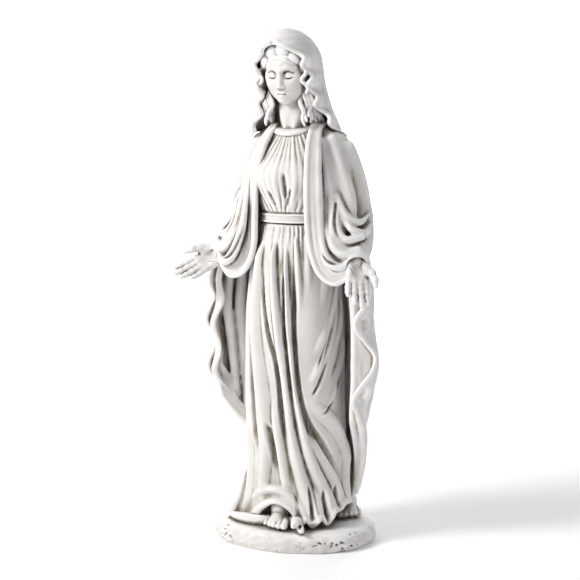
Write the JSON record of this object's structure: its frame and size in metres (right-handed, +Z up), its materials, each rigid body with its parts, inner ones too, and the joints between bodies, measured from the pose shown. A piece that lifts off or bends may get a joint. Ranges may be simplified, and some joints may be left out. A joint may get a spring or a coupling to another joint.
{
  "type": "devotional statue",
  "caption": "Standing robed figure with open lowered hands, veil, belted gown and mantle on an oval ground slab, hollow cast stone.",
  "frame": {"origin": "on the ground under the steel bar, at the middle of the slab's flat underside", "axes": "+Z up, the figure faces -Y, +X is the figure's own left"},
  "size_m": [0.2387, 0.172, 0.61],
  "materials": {
    "cast_stone": "matte, antique wash in the recesses",
    "steel_rod": "plain bar",
    "rubber_stopper": "matte"
  },
  "bodies": {
    "root": {"base_slab": "cast_stone", "base_plug": "rubber_stopper", "steel_bar": "steel_rod", "skirt": "cast_stone", "bodice": "cast_stone", "belt": "cast_stone", "collar": "cast_stone", "mantle_back": "cast_stone", "left_mantle_front": "cast_stone", "right_mantle_front": "cast_stone", "left_sleeve": "cast_stone", "right_sleeve": "cast_stone", "left_hand": "cast_stone", "right_hand": "cast_stone", "left_wrist_pin": "steel_rod", "right_wrist_pin": "steel_rod", "neck_and_face": "cast_stone", "hair": "cast_stone", "veil": "cast_stone", "veil_frill": "cast_stone", "left_foot": "cast_stone", "right_foot": "cast_stone", "serpent": "cast_stone"}
  },
  "joints": []
}
